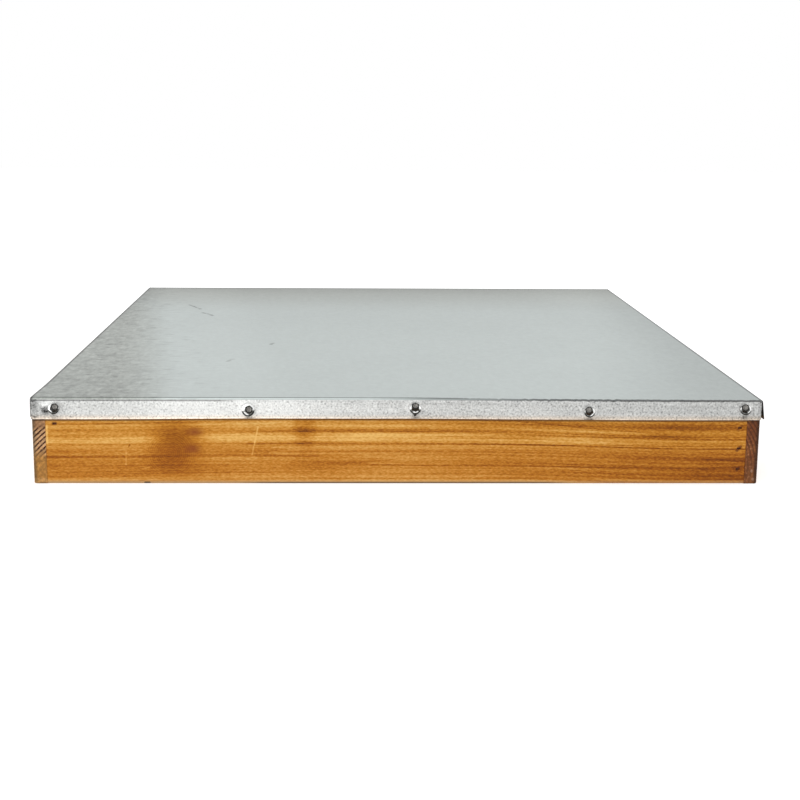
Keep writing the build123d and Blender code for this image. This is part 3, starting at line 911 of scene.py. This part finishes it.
def side_fold(skin, top_edge, side):
    """Bend and skirt at the left (-1) or right (+1), whose front end has sprung out at the right;
    gives back the bend's front and back ends."""
    bends = []
    skirt = []
    for p in top_edge:
        root = Vector((side * HALF_WIDTH, p.y, SHEET_TOP - BEND))
        bends.append(bent(p, Vector((root.x, p.y, p.z)), root, 8))
        sprung = max(1 - (p.y + HALF_LENGTH) / FLARE_RUN, 0.0) if side > 0 else 0.0
        ripple = perlin.noise(Vector((side * 4, p.y * 14, 0)))
        reach = FLARE_REACH * sprung ** FLARE_CURVE + SIDE_PUSH * (1 + ripple)
        foot = SIDE_FOOT - FLARE_DROP * sprung
        fall = Vector((side * reach, 0, foot - root.z))
        skirt.append([root + fall * share for share in spread(0, 1, 8)])
    skin.grid(bends, flip=side < 0)
    skin.grid(skirt, flip=side < 0)
    return bends[0], bends[-1]


def corner_cap(skin, end_bend, side_bend, flip):
    """Closes the small gap where two bends meet over a corner."""
    between = [a.lerp(b, 0.5) for a, b in zip(end_bend, side_bend)]
    skin.grid([end_bend, between, side_bend], flip)


def folded_sheet(front_screws, back_screws):
    """The whole sheet, with its thickness, in place of the plain solid."""
    skin = Skin()
    corner = spread(END_REACH, HALF_WIDTH - BEND, 4)[1:]
    columns = [-x for x in reversed(corner)] + spread(-END_REACH, END_REACH, TOP_COLUMNS) + corner
    rows = []
    for t in spread(0.0, 1.0, TOP_ROWS):
        row = []
        for x in columns:
            front = fold_depth(x, -1) - HALF_LENGTH
            y = front + (HALF_LENGTH - BEND - front) * t
            row.append(Vector((x, y, SHEET_TOP + dome(x, y))))
        rows.append(row)
    skin.grid(rows)
    front_left, front_right = end_fold(skin, columns, -1, front_screws)
    back_left, back_right = end_fold(skin, columns, 1, back_screws)
    left_front, left_back = side_fold(skin, [row[0] for row in rows], -1)
    right_front, right_back = side_fold(skin, [row[-1] for row in rows], 1)
    corner_cap(skin, front_left, left_front, flip=True)
    corner_cap(skin, front_right, right_front, flip=False)
    corner_cap(skin, back_left, left_back, flip=False)
    corner_cap(skin, back_right, right_back, flip=True)

    plain = new_mesh("steel_face", skin.points, skin.faces)
    sheet = in_scene("steel_skin", plain)
    solid = sheet.modifiers.new("thickness", "SOLIDIFY")
    solid.thickness = THICKNESS
    solid.offset = -1.0
    seen = sheet.evaluated_get(bpy.context.evaluated_depsgraph_get())
    sheet.data = bpy.data.meshes.new_from_object(seen)
    sheet.data.name = "steel_skin"
    sheet.modifiers.clear()
    bpy.data.meshes.remove(plain)
    soften(sheet.data, angle=50)
    return sheet


# Screws

SHANK_LENGTH = 13 * MM
SHANK_RADIUS = 1.75 * MM
THREAD_ROOT = 1.35 * MM
THREAD_PITCH = 1.3 * MM
THREAD_ROWS = 45
POINT_LENGTH = 4 * MM
POINT_BLUNT = 0.2 * MM
FLANGE_RADIUS = 3.4 * MM
FLANGE_TOP = 0.95 * MM
RIM_RADIUS = 2.75 * MM
RIM_EDGE = 0.2 * MM
HEX_HALF = 2.3 * MM
HEX_CORNER = 1.13
HEAD_HEIGHT = 4.2 * MM
CROWN_RADIUS = 2.15 * MM
DISH_RADIUS = 1.4 * MM
DISH_DEPTH = 0.5 * MM
SCREW_SIDES = 36
GLINT_FALL = 0.6

# Widths of the flanges from left to right, as shares of the usual one
FRONT_FLANGES = (1.0, 1.2, 1.06, 1.0, 1.0)
BACK_FLANGES = (1.0,) * 5

# Finishes, in the order of a row's materials; DARK is painted shade on the hex's sides, under the flange
# and on the shank
FLANGE, DISH, DARK = range(3)


def hexagon(angle):
    """Radius of the hex, with its corners a little rounded."""
    turn = (angle + math.pi / 6) % (math.pi / 3) - math.pi / 6
    return min(HEX_HALF / math.cos(turn), HEX_HALF * HEX_CORNER)


def crowned(share):
    """Radius of the hex where the crown's chamfer cuts it."""
    return lambda angle: min(hexagon(angle), CROWN_RADIUS * share)


def disc(radius):
    return lambda angle: radius


def thread(depth):
    """Radius of the threaded shank at a depth, tapered to its point."""
    taper = min(1.0, (SHANK_LENGTH - depth) / POINT_LENGTH)

    def radius(angle):
        turn = (depth / THREAD_PITCH + angle / (2 * math.pi)) % 1.0
        crest = max(0.0, 1 - abs(turn - 0.5) * 4)
        return taper * (THREAD_ROOT + (SHANK_RADIUS - THREAD_ROOT) * crest)
    return radius


def screw_rings():
    """Rings of points from the dish in the head down to the point, each with the finish of the strip
    above it."""
    profile = [
        (HEAD_HEIGHT - DISH_DEPTH, disc(0.25 * MM), DISH),
        (HEAD_HEIGHT - 0.8 * DISH_DEPTH, disc(0.7 * DISH_RADIUS), DISH),
        (HEAD_HEIGHT - 0.1 * DISH_DEPTH, disc(DISH_RADIUS), DISH),
        (HEAD_HEIGHT, disc(1.15 * DISH_RADIUS), DISH),
        (HEAD_HEIGHT, disc(0.97 * CROWN_RADIUS), DARK),
        (HEAD_HEIGHT - 0.08 * MM, crowned(1.02), DARK),
        (HEAD_HEIGHT - 0.22 * MM, crowned(1.12), DARK),
        (HEAD_HEIGHT - 0.35 * MM, hexagon, DARK),
        (1.15 * MM, hexagon, DARK),
        (0.98 * MM, lambda angle: hexagon(angle) + 0.12 * MM, FLANGE),
        (0.90 * MM, disc(RIM_RADIUS), FLANGE),
        (0.80 * MM, disc(RIM_RADIUS + RIM_EDGE), FLANGE),
        (0.60 * MM, disc(FLANGE_RADIUS), FLANGE),
        (0.14 * MM, disc(FLANGE_RADIUS), DARK),
        (0.0, disc(FLANGE_RADIUS - 0.12 * MM), DARK),
        (0.0, disc(SHANK_RADIUS), DARK),
    ]
    for row in range(1, THREAD_ROWS + 1):
        depth = (SHANK_LENGTH - POINT_BLUNT) * row / THREAD_ROWS
        profile.append((-depth, thread(depth), DARK))
    angles = [2 * math.pi * i / SCREW_SIDES for i in range(SCREW_SIDES)]
    rings = []
    for height, radius, finish in profile:
        ring = [Vector((radius(a) * math.cos(a), radius(a) * math.sin(a), height)) for a in angles]
        rings.append((ring, finish))
    return rings


def flange_light_and_shade(out, glint_way, radius):
    """The painted highlight and painted shade of a flange toward one side: bright above and at one
    glint, dark below and at its rim."""
    below = smooth(-0.1, 0.3, -out.z)
    glint = smooth(0.7, 0.92, out.dot(glint_way))
    rim = smooth(RIM_RADIUS, RIM_RADIUS + RIM_EDGE, radius)
    return max(glint, 1 - below), below * max(rim, 0.75 * (1 - glint))


def set_screw(solid, outline, width):
    """Points of a detailed screw in place of a plain one, with its flange widened and with the painted
    highlight and shade at each point; the painted glint lies low on the side of the row's nearer end."""
    centre = mean(solid)
    tip = max(solid, key=lambda p: (p - centre).length)
    axis = (centre - tip).normalized()
    turn = Vector((0, 0, 1)).rotation_difference(axis).to_matrix()
    seat = tip + axis * SHANK_LENGTH
    glint_way = Vector((seat.x / HALF_WIDTH, 0, -GLINT_FALL))
    glint_way = (glint_way - axis * glint_way.dot(axis)).normalized()
    points = []
    for p in outline:
        radius = p.xy.length
        beyond = smooth(HEX_HALF, FLANGE_RADIUS, radius) if 0 <= p.z < FLANGE_TOP else 0.0
        wide = 1 + (width - 1) * beyond
        place = turn @ Vector((p.x * wide, p.y * wide, p.z))
        out = (place - axis * place.dot(axis)).normalized()
        points.append((seat + place, *flange_light_and_shade(out, glint_way, radius)))
    return points


def screw_row(name, node, flanges, finishes):
    """Detailed screws in place of a node's plain ones, with their painted highlight and shade kept at
    their points.
    """
    rings = screw_rings()
    outline = [p for ring, _ in rings for p in ring]
    points = []
    faces = []
    face_finishes = []
    for solid, width in zip(sorted(islands(node), key=lambda solid: mean(solid).x), flanges):
        base = len(points)
        points += set_screw(solid, outline, width)
        for k, (_, finish) in enumerate(rings[1:]):
            low = base + k * SCREW_SIDES
            high = low + SCREW_SIDES
            for i in range(SCREW_SIDES):
                j = (i + 1) % SCREW_SIDES
                faces.append((low + i, high + i, high + j, low + j))
                face_finishes.append(finish)
        faces.append(tuple(range(base, base + SCREW_SIDES)))
        faces.append(tuple(reversed(range(len(points) - SCREW_SIDES, len(points)))))
        face_finishes += [DISH, DARK]
    places, flange_highlight, flange_shade = zip(*points)
    mesh = new_mesh(name, places, faces)
    for mark, values in (("flange_highlight", flange_highlight), ("flange_shade", flange_shade)):
        mesh.attributes.new(mark, "FLOAT", "POINT").data.foreach_set("value", values)
    for finish in finishes:
        mesh.materials.append(finish)
    mesh.polygons.foreach_set("material_index", face_finishes)
    soften(mesh, angle=32)
    return in_scene(name, mesh)


def screw_steel(name, light, dark, roughness, worn=False):
    """Zinc plate with grime in its grain; with worn set, the plate takes the painted highlight and
    painted
    shade kept at its points: bright above and at one glint, dark below and at its rim."""
    graph = Graph(name)
    grime = graph.noise((1400, 1400, 1400), detail=3.0, roughness=0.6)
    colour = graph.mix(grime.step(0.3, 0.72), light, dark)
    if worn:
        # Painted highlight and painted shade from the marks kept at the screw's points.
        flange_highlight = (graph.mark("flange_highlight") * (0.6 + grime)).at_most(1.0)
        colour = graph.mix(flange_highlight, colour, srgb(246, 247, 245))
        colour = graph.mix(graph.mark("flange_shade") * 0.95, colour, srgb(24, 24, 22))
    return graph.surface(colour, roughness + grime * 0.2, grime, 0.03 * MM, Metallic=0.9)


front_seats = [mean(solid) for solid in islands("front_screws")]
back_seats = [mean(solid) for solid in islands("back_screws")]
sheet = folded_sheet(front_seats, back_seats)
sheet.data.materials.append(zinc(front_seats, back_seats))
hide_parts("steel_sheet")
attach(sheet, "root")

# Light, mid and dark copies of one zinc plate, as painted light and shade on the screw's parts.
finishes = [
    screw_steel("screw_flange", srgb(186, 187, 183), srgb(122, 122, 118), roughness=0.2, worn=True),
    screw_steel("screw_dish", srgb(134, 132, 128), srgb(98, 96, 92), roughness=0.38),
    screw_steel("screw_hex", srgb(54, 54, 52), srgb(26, 26, 25), roughness=0.3),
]
for name, flanges in (("front_screws", FRONT_FLANGES), ("back_screws", BACK_FLANGES)):
    row = screw_row(name.replace("screws", "hex_screws"), name, flanges, finishes)
    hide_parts(name)
    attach(row, "root")


# Stage: floor, surroundings, lamps and camera

WHITE = (1, 1, 1, 1)
FLOOR_PAINT = (0.86, 0.86, 0.86, 1)
FLOOR_HALF = 4.0
FLOOR_LAP = 2 * MM
CORNERS = ((-1, -1), (1, -1), (1, 1), (-1, 1))

# The floor's own glow grows from weak to strong between a near and a far distance
GLOW_NEAR = 0.4
GLOW_FAR = 1.5
GLOW_WEAK = 0.5
GLOW_STRONG = 1.0

# The photograph's camera, with its focal length as a share of the picture's width
CAMERA_PLACE = (-0.0320, -1.1673, 0.2374)
CAMERA_YAW = -1.475
CAMERA_PITCH = -11.635
CAMERA_ROLL = 0.397
CAMERA_SHIFT = 0.02
FOCAL_SHARE = 1444.7 / 800
SENSOR_WIDTH = 36.0


def seen_directly(tree):
    """1 for rays that show the surroundings: straight, mirrored or through glass."""
    path = tree.add("ShaderNodeLightPath").outputs
    straight = Field(tree, path["Is Camera Ray"])
    return straight.at_least(path["Is Glossy Ray"]).at_least(path["Is Transmission Ray"])


def white_world(ambient):
    """White to look at, dimmer as a light."""
    world = bpy.data.worlds.new("studio")
    world.use_nodes = True
    tree = Tree(world.node_tree)
    strength = ambient + seen_directly(tree) * (1 - ambient)
    light = tree.add("ShaderNodeBackground", {"Color": WHITE, "Strength": strength})
    tree.add("ShaderNodeOutputWorld", {"Surface": light.outputs[0]})
    bpy.context.scene.world = world


def floor_white():
    """White paint with a glow that hides the floor's far edge, clear from below."""
    graph = Graph("pale_floor")
    distance = graph.field("ShaderNodeVectorMath", {0: graph.place}, "Value", operation="LENGTH")
    fade = graph.field("ShaderNodeMapRange",
                       {0: distance, 1: GLOW_NEAR, 2: GLOW_FAR, 3: GLOW_WEAK, 4: GLOW_STRONG})
    glow = graph.add("ShaderNodeEmission", {"Color": WHITE, "Strength": seen_directly(graph) * fade})
    paint = graph.add("ShaderNodeBsdfDiffuse", {"Color": FLOOR_PAINT})
    both = graph.add("ShaderNodeAddShader", {0: paint.outputs[0], 1: glow.outputs[0]})
    clear = graph.add("ShaderNodeBsdfTransparent")
    below = graph.add("ShaderNodeNewGeometry").outputs["Backfacing"]
    pick = graph.add("ShaderNodeMixShader", {0: below, 1: both.outputs[0], 2: clear.outputs[0]})
    graph.add("ShaderNodeOutputMaterial", {"Surface": pick.outputs[0]})
    return graph.material


def pale_floor():
    """White floor that keeps the shadow and is open inside the rim."""
    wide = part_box("right_board")[1].x - FLOOR_LAP
    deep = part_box("back_board")[1].y - FLOOR_LAP
    points = []
    for half_x, half_y in ((FLOOR_HALF, FLOOR_HALF), (wide, deep)):
        points += [(x * half_x, y * half_y, 0) for x, y in CORNERS]
    sides = [(i, (i + 1) % 4, 4 + (i + 1) % 4, 4 + i) for i in range(4)]
    floor = in_scene("floor", new_mesh("floor", points, sides))
    floor.data.materials.append(floor_white())


def soft_lamp(name, place, target, size, power):
    data = bpy.data.lights.new(name, "AREA")
    data.size = size
    data.energy = power
    lamp = in_scene(name, data)
    lamp.location = place
    lamp.rotation_mode = "QUATERNION"
    lamp.rotation_quaternion = (Vector(target) - Vector(place)).to_track_quat("-Z", "Y")


def photo_camera():
    """The photograph's view: a long lens a little over a metre off, looking slightly down."""
    data = bpy.data.cameras.new("camera")
    data.sensor_width = SENSOR_WIDTH
    data.lens = FOCAL_SHARE * SENSOR_WIDTH
    data.shift_x = CAMERA_SHIFT
    camera = in_scene("camera", data)
    camera.matrix_world = (
        Matrix.Translation(CAMERA_PLACE)
        @ Matrix.Rotation(math.radians(CAMERA_YAW), 4, "Z")
        @ Matrix.Rotation(math.radians(90 + CAMERA_PITCH), 4, "X")
        @ Matrix.Rotation(math.radians(CAMERA_ROLL), 4, "Z")
    )
    bpy.context.scene.camera = camera


white_world(ambient=0.6)
pale_floor()
soft_lamp("key", (-1.0, -1.35, 1.25), target=(0, -0.1, 0.05), size=2.2, power=18.5)
soft_lamp("fill", (1.4, 0.6, 1.4), target=(0, 0, 0.05), size=1.8, power=8)
photo_camera()
bpy.context.scene.view_settings.view_transform = "Standard"
